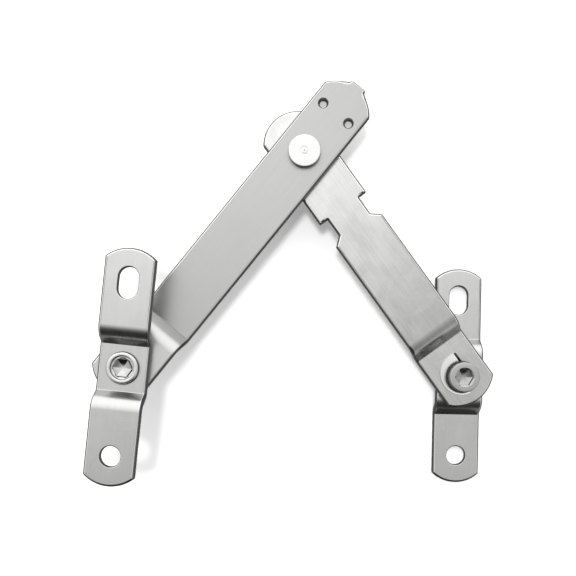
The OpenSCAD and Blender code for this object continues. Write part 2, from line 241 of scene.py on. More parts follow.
def arc(centre, radius, start, end, points):
    """Points along an arc, both ends included."""
    turns = [start + (end - start) * i / (points - 1) for i in range(points)]
    return [Vector((centre[0] + radius * math.cos(t), centre[1] + radius * math.sin(t)))
            for t in turns]


def end_arc(half_w, tip, radius, side, points=28):
    """The arc that ends a strip, run anticlockwise. side is 1 for its +Y end, else -1."""
    spread = math.asin(min(1, half_w / radius))
    middle = side * math.pi / 2
    return arc((0, tip - side * radius), radius, middle - spread, middle + spread, points)


def round_hole(centre, radius, points=48):
    """A hole, run clockwise, so that metal always lies on its left."""
    return arc(centre, radius, 0, -math.tau * (points - 1) / points, points)


def slot_hole(centre_y, radius, span, points=24):
    """A slot along Y, run clockwise. span is its length from end to end."""
    half = span / 2 - radius
    low = arc((0, centre_y - half), radius, 0, -math.pi, points)
    high = arc((0, centre_y + half), radius, math.pi, 0, points)
    return low + high


def rounded(points, radius, closed=True, facets=5):
    """The same line with its corners rounded. A corner with short sides gets less."""
    out = []
    count = len(points)
    for i, p in enumerate(points):
        if not closed and i in (0, count - 1):
            out.append(p)
            continue
        a = points[i - 1] - p
        b = points[(i + 1) % count] - p
        turn = math.pi - a.angle(b, math.pi)
        if turn < CRISP:
            out.append(p)
            continue
        cut = min(radius * math.tan(turn / 2), 0.45 * a.length, 0.45 * b.length)
        start = p + a.normalized() * cut
        end = p + b.normalized() * cut
        for k in range(facets + 1):
            t = k / facets
            out.append(start * (1 - t) ** 2 + p * 2 * t * (1 - t) + end * t ** 2)
    return out


def inset(loop, distance):
    """The loop moved into the metal, which lies on its left."""
    out = []
    for i, p in enumerate(loop):
        a = (p - loop[i - 1]).normalized()
        b = (loop[(i + 1) % len(loop)] - p).normalized()
        na = Vector((-a.y, a.x))
        nb = Vector((-b.y, b.x))
        out.append(p + (na + nb) * (distance / max(0.4, 1 + na.dot(nb))))
    return out


# ---- Sheet metal ----

def join_rings(bm, lower, upper):
    count = len(lower)
    for i in range(count):
        k = (i + 1) % count
        bm.faces.new((lower[i], lower[k], upper[k], upper[i]))


def ring_of(bm, points, z):
    return [bm.verts.new((p.x, p.y, z)) for p in points]


def edges_of(ring):
    found = []
    for i, vert in enumerate(ring):
        other = ring[(i + 1) % len(ring)]
        found.append(next(e for e in vert.link_edges if e.other_vert(vert) is other))
    return found


def quarter(radius):
    """Insets and heights of a rounded edge, from the face round to the wall."""
    steps = [math.pi / 2 * i / EDGE_FACETS for i in range(EDGE_FACETS + 1)]
    return [(radius * (1 - math.sin(s)), radius * (1 - math.cos(s))) for s in steps]


def sheet_blank(strip, loops, roll_up, hollows=(), bosses=()):
    """A flat blank between -t/2 and t/2 with rounded edges. The first loop is its outline and
    the others are holes. Hollows and bosses are (centre, [(radius, height), ...]) stamped into
    its lower and upper face. The rim layer is 1 on the rounded edges, which tumbling burnishes
    and which get a painted highlight, and the shade layer is 1 on the sheared walls, which get
    painted shade. roll_up puts the rounder edge, where the punch came in, on the upper face."""
    bm = bmesh.new()
    rim = bm.verts.layers.float.new("rim")
    wall = bm.verts.layers.float.new("wall")
    half = STRIP_T / 2
    caps = {-1: [], 1: []}
    for loop in loops:
        roll = strip.die_roll if loop is loops[0] else strip.hole_roll
        radii = (strip.burr_side, roll) if roll_up else (roll, strip.burr_side)
        low = [(d, -half + h) for d, h in quarter(radii[0])]
        high = [(d, half - h) for d, h in reversed(quarter(radii[1]))]
        rings = [ring_of(bm, inset(loop, d), z) for d, z in low + high]
        for lower, upper in zip(rings, rings[1:]):
            join_rings(bm, lower, upper)
        # Painted highlight on the rounded edges
        for vert in rings[1] + rings[-2]:
            vert[rim] = 1
        # Painted shade on the sheared walls
        for vert in sum(rings[2:-2], []):
            vert[wall] = 1
        caps[-1] += edges_of(rings[0])
        caps[1] += edges_of(rings[-1])
    for side, stamps in ((-1, hollows), (1, bosses)):
        for centre, profile in stamps:
            rings = [ring_of(bm, round_hole(centre, r, 36), side * half + h) for r, h in profile]
            for lower, upper in zip(rings, rings[1:]):
                join_rings(bm, lower, upper)
            for ring, (_, height) in zip(rings, profile):
                for vert in ring:
                    # Painted shade goes only on the walls of a stamp, not on its mouth or its floor
                    vert[wall] = PIP_SHADE if 0.1 < height / profile[-1][1] < 0.9 else 0
            bm.faces.new(rings[-1])
            caps[side] += edges_of(rings[0])
    for side, edges in caps.items():
        bmesh.ops.triangle_fill(bm, use_beauty=True, edges=edges, normal=(0, 0, side))
    return bm


def step_run(strip, rise):
    """Length, along the strip, of a step of the given height."""
    radii = strip.bend_r + strip.fold_r + STRIP_T
    climb = rise - radii * (1 - math.cos(strip.bend_a))
    return radii * math.sin(strip.bend_a) + climb / math.tan(strip.bend_a)


def step_height(strip, rise, along, first_r, last_r):
    """Height and slope of a step's middle plane, at a distance past its start. first_r and
    last_r are the radii of its two bends at that plane."""
    run = step_run(strip, rise)
    first, last = first_r * math.sin(strip.bend_a), last_r * math.sin(strip.bend_a)
    if along <= 0:
        return 0, 0
    if along >= run:
        return rise, 0
    if along < first:
        a = math.asin(along / first_r)
        return first_r * (1 - math.cos(a)), a
    if along > run - last:
        a = math.asin((run - along) / last_r)
        return rise - last_r * (1 - math.cos(a)), a
    foot = first_r * (1 - math.cos(strip.bend_a))
    return foot + (along - first) * math.tan(strip.bend_a), strip.bend_a


def coined_corner(reach_out, corner_r, slope):
    """Distance from the centre of a square bend to its coined outer face, at a slope."""
    flat = reach_out - corner_r
    near = min(slope, math.pi / 2 - slope)
    if reach_out * math.tan(near) <= flat:
        return reach_out / math.cos(near)
    along = flat * (math.sin(near) + math.cos(near))
    return along + math.sqrt(max(0, along ** 2 - 2 * flat ** 2 + corner_r ** 2))


def press(bm, strip, steps, base, roll_up, crease_shade, tab=None):
    """Bends a flat blank. Steps are (middle, rise), with a negative rise for a step down. base
    is the height of the blank's lower face. The bend that is hollow on the rolled face is the
    sharp one, and the crease shade is how much painted shade darkens it. tab is (bend start,
    inside radius, outside radius) of an end turned up square."""
    wall = bm.verts.layers.float["wall"]
    low_r, high_r = strip.fold_r + STRIP_T / 2, strip.bend_r + STRIP_T / 2
    if not roll_up:
        low_r, high_r = high_r, low_r
    bends, cuts = [], []
    for middle, rise in steps:
        half_run = step_run(strip, abs(rise)) / 2
        first_r, last_r = (low_r, high_r) if rise > 0 else (high_r, low_r)
        bends.append((middle - half_run, rise, first_r, last_r))
        for i in range(BEND_CUTS + 1):
            back = math.sin(strip.bend_a * i / BEND_CUTS)
            cuts += [middle - half_run + first_r * back, middle + half_run - last_r * back]
    if tab:
        tab_r = tab[1] + STRIP_T / 2
        cuts += [tab[0] + tab_r * math.pi / 2 * i / BEND_CUTS for i in range(BEND_CUTS + 1)]
    for y in cuts:
        everything = bm.verts[:] + bm.edges[:] + bm.faces[:]
        bmesh.ops.bisect_plane(bm, geom=everything, dist=WELD, plane_co=(0, y, 0),
                               plane_no=(0, 1, 0))
    blank = bm.verts.layers.float_vector.new("blank")
    for vert in bm.verts:
        vert[blank] = vert.co
        y, z, slope = vert.co.y, base + STRIP_T / 2, 0
        for start, rise, first_r, last_r in bends:
            along = vert.co.y - start
            height, a = step_height(strip, abs(rise), along, first_r, last_r)
            bend_r = first_r if along < step_run(strip, abs(rise)) / 2 else last_r
            # Painted shade along the sharp bend's crease
            if ALMOST < a < strip.bend_a - ALMOST and bend_r == min(low_r, high_r):
                vert[wall] = max(vert[wall], crease_shade)
            side = math.copysign(1, rise)
            z += side * height
            slope += side * a
        off = vert.co.z
        if tab and y > tab[0]:
            slope = min(math.pi / 2, (y - tab[0]) / tab_r)
            past = y - tab[0] - slope * tab_r
            share = 0.5 - off / STRIP_T
            outside = coined_corner(tab[1] + STRIP_T, tab[2], slope)
            out = tab[1] + share * (outside - tab[1])
            y = tab[0] + out * math.sin(slope)
            z += tab_r + past - out * math.cos(slope)
            off = 0
        vert.co = (vert.co.x, y - off * math.sin(slope), z + off * math.cos(slope))


def spring_lip(bm, arm, pad_top, side):
    """The lip pressed up beside the slit: a ramp that runs out round a side's pivot. Only its
    upper skin is drawn, sunk in the pad at its edges."""
    inner_r = reach(side + "_spring_washer", SIDES[side][0])[1].x + SUNK
    rim = bm.verts.layers.float["rim"]
    blank = bm.verts.layers.float_vector["blank"]
    slit_x = arm.slit_side - arm.slit_w / 2
    middle = Vector((arm.lip_side, arm.lip_shift))
    dip = 0.045 * MM
    stations = 44
    columns = []
    for i in range(stations + 1):
        t = i / stations
        lift = arm.lip_lift * (1 - t) ** 1.1
        column = []
        # Share of the way across the lip, and height above the pad
        spots = [(0, -2 * SUNK), (0, lift), (0.02, lift - dip)]
        spots += [(k, lift) for k in (0.06, 0.12, 0.5, 0.9, 0.96)]
        spots += [(1, 0.72 * lift), (1.06, 0.1 * lift), (1.09, -2 * SUNK)]
        for k, height in spots:
            guess = arm.lip_r
            # The turn's start depends on the radius, so the two are closed in on
            for _ in range(3):
                start = math.acos(min(1, slit_x / max(guess, inner_r)))
                turn = start + t * arm.lip_sweep
                ray = Vector((math.cos(turn), math.sin(turn)))
                along = middle.dot(ray)
                edge = along + math.sqrt(arm.lip_r ** 2 - middle.length_squared + along ** 2)
                guess = inner_r + (edge - inner_r) * k
            vert = bm.verts.new((ray.x * guess, ray.y * guess, pad_top + height))
            # Painted highlight over the whole lip
            vert[rim] = 1
            vert[blank] = vert.co
            column.append(vert)
        columns.append(column)
    for a, b in zip(columns, columns[1:]):
        for i in range(len(a) - 1):
            bm.faces.new((a[i], a[i + 1], b[i + 1], b[i]))
    bm.faces.new(columns[0])


# ---- Spun pieces ----

def hexagon_r(turn, across_flats):
    return across_flats / 2 / math.cos(turn % (math.pi / 3) - math.pi / 6)


def spun(profile, closed=False):
    """Turns a profile of (radius, height) about Z. A third value makes that ring a hexagon,
    with the radius taken as its size across the flats. A radius of 0 closes an end."""
    rings = []
    bm = bmesh.new()
    wall = bm.verts.layers.float.new("wall")
    for radius, z, *hexagon in profile:
        if radius == 0:
            rings.append([bm.verts.new((0, 0, z))])
            continue
        ring = []
        for i in range(TURN):
            turn = math.tau * i / TURN
            r = hexagon_r(turn, radius) if hexagon else radius
            ring.append(bm.verts.new((r * math.cos(turn), r * math.sin(turn), z)))
        rings.append(ring)
    for i, ring in enumerate(rings):
        before, after = profile[i - 1], profile[(i + 1) % len(profile)]
        climb = abs(after[1] - before[1])
        steep = climb / max(math.hypot(after[0] - before[0], climb), TINY)
        for vert in ring:
            # Slopes up to 37 degrees are faces, and from 69 degrees they are walls, which get painted shade.
            # Hexagon socket rings get painted shade too.
            vert[wall] = SOCKET_SHADE if profile[i][2:] else min(1, max(0, 3 * steep - 1.8))
    pairs = list(zip(rings, rings[1:]))
    if closed:
        pairs.append((rings[-1], rings[0]))
    for a, b in pairs:
        for i in range(TURN):
            k = (i + 1) % TURN
            corners = [a[i % len(a)], a[k % len(a)], b[k % len(b)], b[i % len(b)]]
            bm.faces.new(dict.fromkeys(corners))
    return bm


def eased(points, radius, closed=False):
    """A profile of plain (radius, height) pairs with its corners rounded."""
    return [tuple(p) for p in rounded([Vector(p) for p in points], radius, closed, 4)]


# ---- Finished pieces ----

def new_object(name, data):
    obj = bpy.data.objects.new(name, data)
    bpy.context.scene.collection.objects.link(obj)
    return obj


def piece(name, bm, home, body, finish):
    """Makes the object, shades it, and puts it in place of its CAD node."""
    bmesh.ops.recalc_face_normals(bm, faces=bm.faces[:])
    for edge in bm.edges:
        edge.smooth = len(edge.link_faces) == 2 and edge.calc_face_angle() < CRISP
    for face in bm.faces:
        face.smooth = True
    if "blank" not in bm.verts.layers.float_vector:
        blank = bm.verts.layers.float_vector.new("blank")
        for vert in bm.verts:
            vert[blank] = vert.co
    mesh = bpy.data.meshes.new(name)
    bm.to_mesh(mesh)
    bm.free()
    mesh.transform(home)
    mesh.materials.append(finish)
    obj = new_object(name, mesh)
    even = obj.modifiers.new("Even faces", "WEIGHTED_NORMAL")
    even.keep_sharp = True
    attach(obj, body)
    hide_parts(name.replace("_looks", ""))


# ---- Materials ----

def add(tree, kind, inputs=None, **settings):
    """Adds a node. Settings go on the node itself. Inputs are values, sockets to link, or nodes,
    which are linked from their first output."""
    node = tree.nodes.new(kind)
    for name, value in settings.items():
        setattr(node, name, value)
    for name, value in (inputs or {}).items():
        if isinstance(value, bpy.types.Node):
            value = value.outputs[0]
        if isinstance(value, bpy.types.NodeSocket):
            tree.links.new(value, node.inputs[name])
        else:
            node.inputs[name].default_value = value
    return node


def new_material(name):
    material = bpy.data.materials.get(name) or bpy.data.materials.new(name)
    material.use_nodes = True
    material.node_tree.nodes.clear()
    return material, material.node_tree


def end_material(tree, tint, tone, inputs):
    """Ends a material: its colour, named in tint, times a tone, and the other inputs."""
    rgb = tuple(getattr(bpy.context.scene.hinge_finish, tint))
    shade = add(tree, "ShaderNodeVectorMath", {0: rgb, "Scale": tone}, operation="SCALE")
    surface = add(tree, "ShaderNodeBsdfPrincipled", {"Base Color": shade, **inputs})
    add(tree, "ShaderNodeOutputMaterial", {"Surface": surface})


def pressed_stainless(name, tint, brushed, clouded, rough, painted_shading=((0, 1), (1, 1))):
    """Type 304 stainless strip, cold rolled to a satin, pressed and then tumbled. The rolling
    leaves fine straight grain along the strip, handling leaves soft cloudy patches, and the
    tumbling leaves every edge smoother than the flats. A painted highlight makes the rounded
    edges brighter, and painted shade darkens the sheared walls, the creases and the walls of
    stamps. The last argument lists (place, tone) along the strip: painted light and shade that
    makes the metal lighter or darker along its length."""
    material, tree = new_material(name)
    # Rolled grain is about 0.02 mm wide. It is drawn at 0.3 mm, so that it shows.
    grain_w, grain_l, cloud_w, pit_w = 0.3 * MM, 16 * MM, 9 * MM, 0.45 * MM
    at = add(tree, "ShaderNodeAttribute", attribute_name="blank").outputs["Vector"]
    stretched = add(tree, "ShaderNodeMapping", {
        "Vector": at, "Scale": (1 / grain_w, 1 / grain_l, 1 / grain_w)})
    grain = add(tree, "ShaderNodeTexNoise", {
        "Vector": stretched, "Scale": 1, "Detail": 3, "Roughness": 0.6})
    clouds = add(tree, "ShaderNodeTexNoise", {
        "Vector": at, "Scale": 1 / cloud_w, "Detail": 4, "Roughness": 0.62, "Distortion": 0.6})
    pits = add(tree, "ShaderNodeTexNoise", {
        "Vector": at, "Scale": 1 / pit_w, "Detail": 2, "Roughness": 0.5})
    rim = add(tree, "ShaderNodeAttribute", attribute_name="rim").outputs["Fac"]
    wall = add(tree, "ShaderNodeAttribute", attribute_name="wall").outputs["Fac"]
    # Painted light and shade along the strip, from the listed places and tones
    along = add(tree, "ShaderNodeSeparateXYZ", {"Vector": at}).outputs["Y"]
    first, last = painted_shading[0][0], painted_shading[-1][0]
    share = add(tree, "ShaderNodeMapRange", {"Value": along, "From Min": first, "From Max": last})
    shading_ramp = add(tree, "ShaderNodeValToRGB", {"Fac": share})
    stops = shading_ramp.color_ramp.elements
    for spot, _ in painted_shading[1:-1]:
        stops.new((spot - first) / (last - first))
    for stop, (spot, tone) in zip(stops, painted_shading):
        stop.color = (tone, tone, tone, 1)
    patches = add(tree, "ShaderNodeMapRange", {
        "Value": clouds, "From Min": 0.32, "From Max": 0.68, "To Min": 1 - clouded, "To Max": 1})
    streaks = add(tree, "ShaderNodeMapRange", {
        "Value": grain, **MOST_NOISE, "To Min": 1 - brushed, "To Max": 1})
    tone = add(tree, "ShaderNodeMath", {0: patches, 1: streaks}, operation="MULTIPLY")
    # The grain and cloud tones, times the painted light and shade along the strip
    worn = add(tree, "ShaderNodeMath", {0: tone, 1: shading_ramp}, operation="MULTIPLY")
    # Painted highlight on the rounded edges and on the spring lip
    edge_highlight_tone = add(tree, "ShaderNodeMix", {
        "Factor": rim, "A": worn, "B": EDGE_HIGHLIGHT_TONE}, data_type="FLOAT")
    # Painted shade on the sheared walls, the creases and the walls of stamps
    shaded_tone = add(tree, "ShaderNodeMix", {
        "Factor": wall, "A": edge_highlight_tone, "B": WALL_SHADE_TONE}, data_type="FLOAT")
    dull = add(tree, "ShaderNodeMapRange", {
        "Value": clouds, **MOST_NOISE, "To Min": rough - 0.03, "To Max": rough + 0.05})
    rough_edge = add(tree, "ShaderNodeMix", {
        "Factor": rim, "A": dull, "B": rough - 0.08}, data_type="FLOAT")
    relief = add(tree, "ShaderNodeMath", {0: grain, 1: 0.6, 2: pits}, operation="MULTIPLY_ADD")
    bump = add(tree, "ShaderNodeBump", {"Height": relief, "Strength": 0.22, "Distance": 0.02 * MM})
    end_material(tree, tint, shaded_tone, {"Metallic": 1.0, "Roughness": rough_edge, "Normal": bump})
    return material


def turned_stainless(name, tint, rough, ring_depth, side_shade):
    """Stainless bar, turned on a lathe and left bright. The tool leaves fine rings round the
    axis, so a flat face shows faint circles and a sharper reflection than the strip. The sides
    and the hexagon sockets get painted shade, darker than the faces."""
    material, tree = new_material(name)
    # Feed marks are about 0.05 mm apart. They are drawn 0.4 mm apart, so that they show.
    feed = 0.4 * MM
    at = add(tree, "ShaderNodeAttribute", attribute_name="blank").outputs["Vector"]
    flat = add(tree, "ShaderNodeVectorMath", {0: at, 1: (1, 1, 0)}, operation="MULTIPLY")
    out = add(tree, "ShaderNodeVectorMath", {0: flat}, operation="LENGTH")
    phase = add(tree, "ShaderNodeMath", {0: out.outputs["Value"], 1: math.tau / feed},
                operation="MULTIPLY")
    rings = add(tree, "ShaderNodeMath", {0: phase}, operation="SINE")
    smudge = add(tree, "ShaderNodeTexNoise", {"Vector": at, "Scale": 1 / (2.5 * MM), "Detail": 3})
    tone = add(tree, "ShaderNodeMapRange", {
        "Value": smudge, **MOST_NOISE, "To Min": 0.94, "To Max": 1})
    # Painted shade on the sides and in the hexagon sockets
    wall = add(tree, "ShaderNodeAttribute", attribute_name="wall").outputs["Fac"]
    shaded_tone = add(tree, "ShaderNodeMix", {
        "Factor": wall, "A": tone, "B": side_shade}, data_type="FLOAT")
    dull = add(tree, "ShaderNodeMapRange", {
        "Value": smudge, **MOST_NOISE, "To Min": rough - 0.03, "To Max": rough + 0.04})
    bump = add(tree, "ShaderNodeBump", {
        "Height": rings, "Strength": ring_depth, "Distance": 0.01 * MM})
    end_material(tree, tint, shaded_tone, {"Metallic": 1.0, "Roughness": dull, "Normal": bump})
    return material


def moulded_nylon():
    """Nylon 6, moulded with a fine eroded texture. It is an even dark plastic with a soft,
    broad sheen and small mottles where the texture wears."""
    material, tree = new_material("moulded_nylon")
    at = add(tree, "ShaderNodeTexCoord").outputs["Object"]
    grit = add(tree, "ShaderNodeTexNoise", {"Vector": at, "Scale": 1 / (0.3 * MM), "Detail": 3})
    worn = add(tree, "ShaderNodeTexNoise", {"Vector": at, "Scale": 1 / (3 * MM), "Detail": 2})
    tone = add(tree, "ShaderNodeMapRange", {
        "Value": worn, **MOST_NOISE, "To Min": 0.85, "To Max": 1.2})
    dull = add(tree, "ShaderNodeMapRange", {"Value": grit, "To Min": 0.4, "To Max": 0.6})
    bump = add(tree, "ShaderNodeBump", {"Height": grit, "Strength": 0.3, "Distance": 0.02 * MM})
    end_material(tree, "nylon", tone, {"Roughness": dull, "Normal": bump, "IOR": 1.53})
    return material


def painted_floor():
    """Matt white paint, rolled on board. It is even and pale, with a very faint mottle."""
    material, tree = new_material("matt_painted_board")
    at = add(tree, "ShaderNodeTexCoord").outputs["Object"]
    roller = add(tree, "ShaderNodeTexNoise", {"Vector": at, "Scale": 1 / (40 * MM), "Detail": 2})
    tone = add(tree, "ShaderNodeMapRange", {"Value": roller, "To Min": 0.985, "To Max": 1})
    end_material(tree, "floor", tone, {"Roughness": 0.9, "Specular IOR Level": 0.1})
    return material


# ---- Operators ----

class HINGE_OT_brackets(Operator):
    """Press the two screwed brackets"""
    bl_idname = "hinge.brackets"
    bl_label = "Brackets"

    def execute(self, context):
        scene = context.scene
        strip, size = scene.hinge_strip, scene.hinge_bracket
        # Painted light and shade along each bracket: darker at its pivot and screw hole end, lighter towards its
        # slot
        finish = pressed_stainless("satin_stainless_brackets", "strip", brushed=0.04, clouded=0.1,
                                   rough=0.28, painted_shading=((0, 0.88), (PIVOT_PITCH, 1)))
        for side, (home, body) in SIDES.items():
            low, high = reach(side + "_bracket", home)
            half_w = high.x
            hole_y = (home.inverted() @ mount_at(side + "_screw_hole")).y
            slot_y = (home.inverted() @ mount_at(side + "_slot")).y
            rise = high.z - STRIP_T
            washer = reach(side + "_friction_washer", home)[1].x
            step_y = washer + size.seat_margin + step_run(strip, rise) / 2
            outline = end_arc(half_w, low.y, size.end_r, -1) + end_arc(half_w, high.y, size.end_r, 1)
            loops = [
                rounded(outline, strip.corner_r),
                round_hole((0, hole_y), SCREW_HOLE_R),
                slot_hole(slot_y, SCREW_HOLE_R, size.slot_l),
                round_hole((0, 0), scene.hinge_pivot.sleeve_r + strip.die_roll / 2),
            ]
            bm = sheet_blank(strip, loops, side == "frame")
            press(bm, strip, [(-step_y, rise), (step_y, -rise)], 0, side == "frame", crease_shade=0.15)
            piece(side + "_bracket_looks", bm, home, body, finish)
        return {"FINISHED"}


def arm_holes(arm, pivot):
    """The elbow hole, and the keyhole of the end pivot with its slit."""
    bore = pivot.sleeve_r + arm.bore_gap
    left = arm.slit_side - arm.slit_w / 2
    right = arm.slit_side + arm.slit_w / 2
    end_y = arm.slit_reach - arm.slit_w / 2
    slit_end = arc((arm.slit_side, end_y), arm.slit_w / 2, math.pi, 0, 12)
    start = math.acos(right / bore)
    end = math.acos(left / bore) - math.tau
    keyhole = slit_end + arc((0, 0), bore, start, end, 60)
    return [keyhole, round_hole((0, PIVOT_PITCH), pivot.rivet_r + arm.bore_gap)]


def arm_places(node, home):
    """Lowest and highest corner of an arm, and the rise of both arms' steps, which is taken
    from the notched arm, as the other one's tab stands higher than its step."""
    low, high = reach("notched_arm", ON_NOTCHED_ARM)
    rise = high.z - low.z - STRIP_T
    low, high = reach(node, home)
    return low, high, rise


class HINGE_OT_notched_arm(Operator):
    """Press the lower arm with its two notches"""
    bl_idname = "hinge.notched_arm"
    bl_label = "Notched arm"

    def execute(self, context):
        scene = context.scene
        strip, arm, stop = scene.hinge_strip, scene.hinge_arm, scene.hinge_stop
        low, high, rise = arm_places("notched_arm", ON_NOTCHED_ARM)
        half_w = high.x
        neck = half_w - stop.notch_depth
        near = PIVOT_PITCH - stop.notch_near
        foot = PIVOT_PITCH - stop.notch_far
        notch = [Vector((half_w, foot - stop.notch_lean)), Vector((neck, foot)),
                 Vector((neck, near)), Vector((half_w, near))]
        other = [Vector((-p.x, p.y)) for p in reversed(notch)]
        outline = end_arc(half_w, low.y, arm.pad_end_r, -1) + notch
        outline += end_arc(half_w, high.y, arm.tip_r, 1) + other
        loops = [rounded(outline, strip.corner_r)] + arm_holes(arm, scene.hinge_pivot)
        bm = sheet_blank(strip, loops, True)
        press(bm, strip, [(arm.step_at, rise)], low.z, True, crease_shade=0.35)
        spring_lip(bm, arm, low.z + STRIP_T, "frame")
        near_step = arm.step_at + step_run(strip, rise) / 2
        # Painted light and shade along the arm: darker at its pad's end and just past its step, brightest at the
        # elbow
        painted_shading = ((low.y, 0.84), (0, 0.92), (arm.step_at, 0.94), (near_step, 0.8),
                  (PIVOT_PITCH, 1.15))
        finish = pressed_stainless("satin_stainless_notched_arm", "strip", brushed=0.12,
                                   clouded=0.18, rough=0.26, painted_shading=painted_shading)
        piece("notched_arm_looks", bm, ON_NOTCHED_ARM, "lower_arm", finish)
        return {"FINISHED"}


class HINGE_OT_stop_arm(Operator):
    """Press the upper arm with its tab and its two pips"""
    bl_idname = "hinge.stop_arm"
    bl_label = "Stop arm"

    def execute(self, context):
        scene = context.scene
        strip, arm, stop = scene.hinge_strip, scene.hinge_arm, scene.hinge_stop
        low, high, rise = arm_places("stop_arm", ON_STOP_ARM)
        half_w = high.x
        tip = high.y - stop.tab_proud
        bend_y = high.y - STRIP_T - stop.tab_bend_r
        bend_r = stop.tab_bend_r + STRIP_T / 2
        straight = high.z - (low.z + rise + STRIP_T / 2) - bend_r
        tab_end = bend_y + bend_r * math.pi / 2 + straight
        tab_half = stop.tab_w / 2
        foot_y = tip - arm.tip_r + math.sqrt(arm.tip_r ** 2 - tab_half ** 2)
        whole = end_arc(half_w, tip, arm.tip_r, 1, 60)
        outline = end_arc(half_w, low.y, arm.pad_end_r, -1)
        outline += [p for p in whole if p.x > tab_half]
        outline += [Vector((tab_half, foot_y)), Vector((tab_half, tab_end)),
                    Vector((-tab_half, tab_end)), Vector((-tab_half, foot_y))]
        outline += [p for p in whole if p.x < -tab_half]
        loops = [rounded(outline, strip.corner_r)] + arm_holes(arm, scene.hinge_pivot)
        mouth, floor, lip = stop.pip_d / 2, stop.pip_floor_d / 2, 0.25 * MM
        hollow = eased([(mouth + lip, 0), (mouth, 0), (floor, stop.pip_depth),
                        (floor / 2, stop.pip_depth)], lip)
        raised = eased([(mouth, 0), (floor + lip / 2, 0), (floor, lip), (floor / 2, lip)], lip / 2)
        pips = [Vector((side * stop.pip_side, PIVOT_PITCH + stop.pip_at)) for side in (-1, 1)]
        bm = sheet_blank(strip, loops, False,
                         [(p, hollow) for p in pips], [(p, raised) for p in pips])
        press(bm, strip, [(arm.step_at, rise)], low.z, False, crease_shade=0.6,
              tab=(bend_y, stop.tab_bend_r, stop.tab_corner))
        spring_lip(bm, arm, low.z + STRIP_T, "sash")
        near_step = arm.step_at + step_run(strip, rise) / 2
        # Painted shade along the arm: lighter at its pad, darker from just past its step to its tip
        painted_shading = ((0, 0.92), (arm.step_at, 0.92), (near_step, 0.74), (PIVOT_PITCH, 0.75),
                  (high.y, 0.7))
        finish = pressed_stainless("satin_stainless_stop_arm", "strip", brushed=0.04,
                                   clouded=0.06, rough=0.36, painted_shading=painted_shading)
        piece("stop_arm_looks", bm, ON_STOP_ARM, "upper_arm", finish)
        return {"FINISHED"}


class HINGE_OT_barrel_nuts(Operator):
    """Turn the two barrel nuts"""
    bl_idname = "hinge.barrel_nuts"
    bl_label = "Barrel nuts"

    def execute(self, context):
        size = context.scene.hinge_pivot
        finish = turned_stainless("turned_stainless_nuts", "strip", rough=0.14, ring_depth=0.1,
                                  side_shade=0.15)
        for side, (home, body) in SIDES.items():
            low, high = reach(side + "_barrel_nut", home)
            screw_low = reach(side + "_pivot_screw", home)[0].z
            seat = reach(side + "_bracket", home)[1].z - STRIP_T
            head_r, foot = high.x, low.z
            flank, floor_z = 0.22 * MM, foot + size.nut_mouth_h
            lead, lead_h = size.socket_af / math.sqrt(3) + 0.15 * MM, 0.25 * MM
            softened, lip_r = 0.15 * MM, 0.62 * MM
            outside = eased([(size.sleeve_r, high.z), (size.sleeve_r, seat), (head_r, seat)],
                            softened)
            rim = eased([(head_r, seat), (head_r - flank, foot), (size.nut_mouth_r, foot),
                         (size.nut_mouth_r, floor_z)], lip_r)
            thread_gap, screw_gap, web_t = 0.02 * MM, 0.05 * MM, 0.1 * MM
            thread_r, web = size.screw_r + thread_gap, screw_low - screw_gap
            cone = size.socket_af / 2 * math.tan(size.drill_a)
            socket = [(lead, floor_z), (size.socket_af, floor_z + lead_h, True),
                      (size.socket_af, web - cone - web_t, True), (0, web - web_t)]
            thread = [(0, web), (thread_r, web), (thread_r, high.z)]
            bm = spun(thread + outside + rim[1:] + socket)
            piece(side + "_barrel_nut_looks", bm, home, body, finish)
        return {"FINISHED"}


class HINGE_OT_pivot_screws(Operator):
    """Turn the two pivot screws with their hexagon sockets"""
    bl_idname = "hinge.pivot_screws"
    bl_label = "Pivot screws"

    def execute(self, context):
        size = context.scene.hinge_pivot
        finish = turned_stainless("turned_stainless_screws", "screw", rough=0.24, ring_depth=0.15,
                                  side_shade=0.5)
        for side, (home, body) in SIDES.items():
            low, high = reach(side + "_pivot_screw", home)
            head_r, top = high.x, high.z
            under = reach(side + "_spring_washer", home)[1].z
            corner, chamfer, chamfer_h = size.socket_af / math.sqrt(3), 0.15 * MM, 0.22 * MM
            # The dimple in the tip is as deep as it is wide to each side
            dimple, softened = size.screw_r * 0.6, 0.3 * MM
            shank = eased([(0, low.z + dimple), (dimple, low.z), (size.screw_r, low.z),
                           (size.screw_r, under)], softened)
            head = eased([(size.screw_r, under), (head_r, under), (head_r, top),
                          (corner + 0.2 * MM, top)], softened)
            floor_z = top - size.socket_h
            cone = size.socket_af / 2 * math.tan(size.drill_a)
            socket = [(corner + chamfer, top), (size.socket_af, top - chamfer_h, True),
                      (size.socket_af, floor_z, True), (0, floor_z - cone)]
            bm = spun(shank + head[1:] + socket)
            piece(side + "_pivot_screw_looks", bm, home, body, finish)
        return {"FINISHED"}


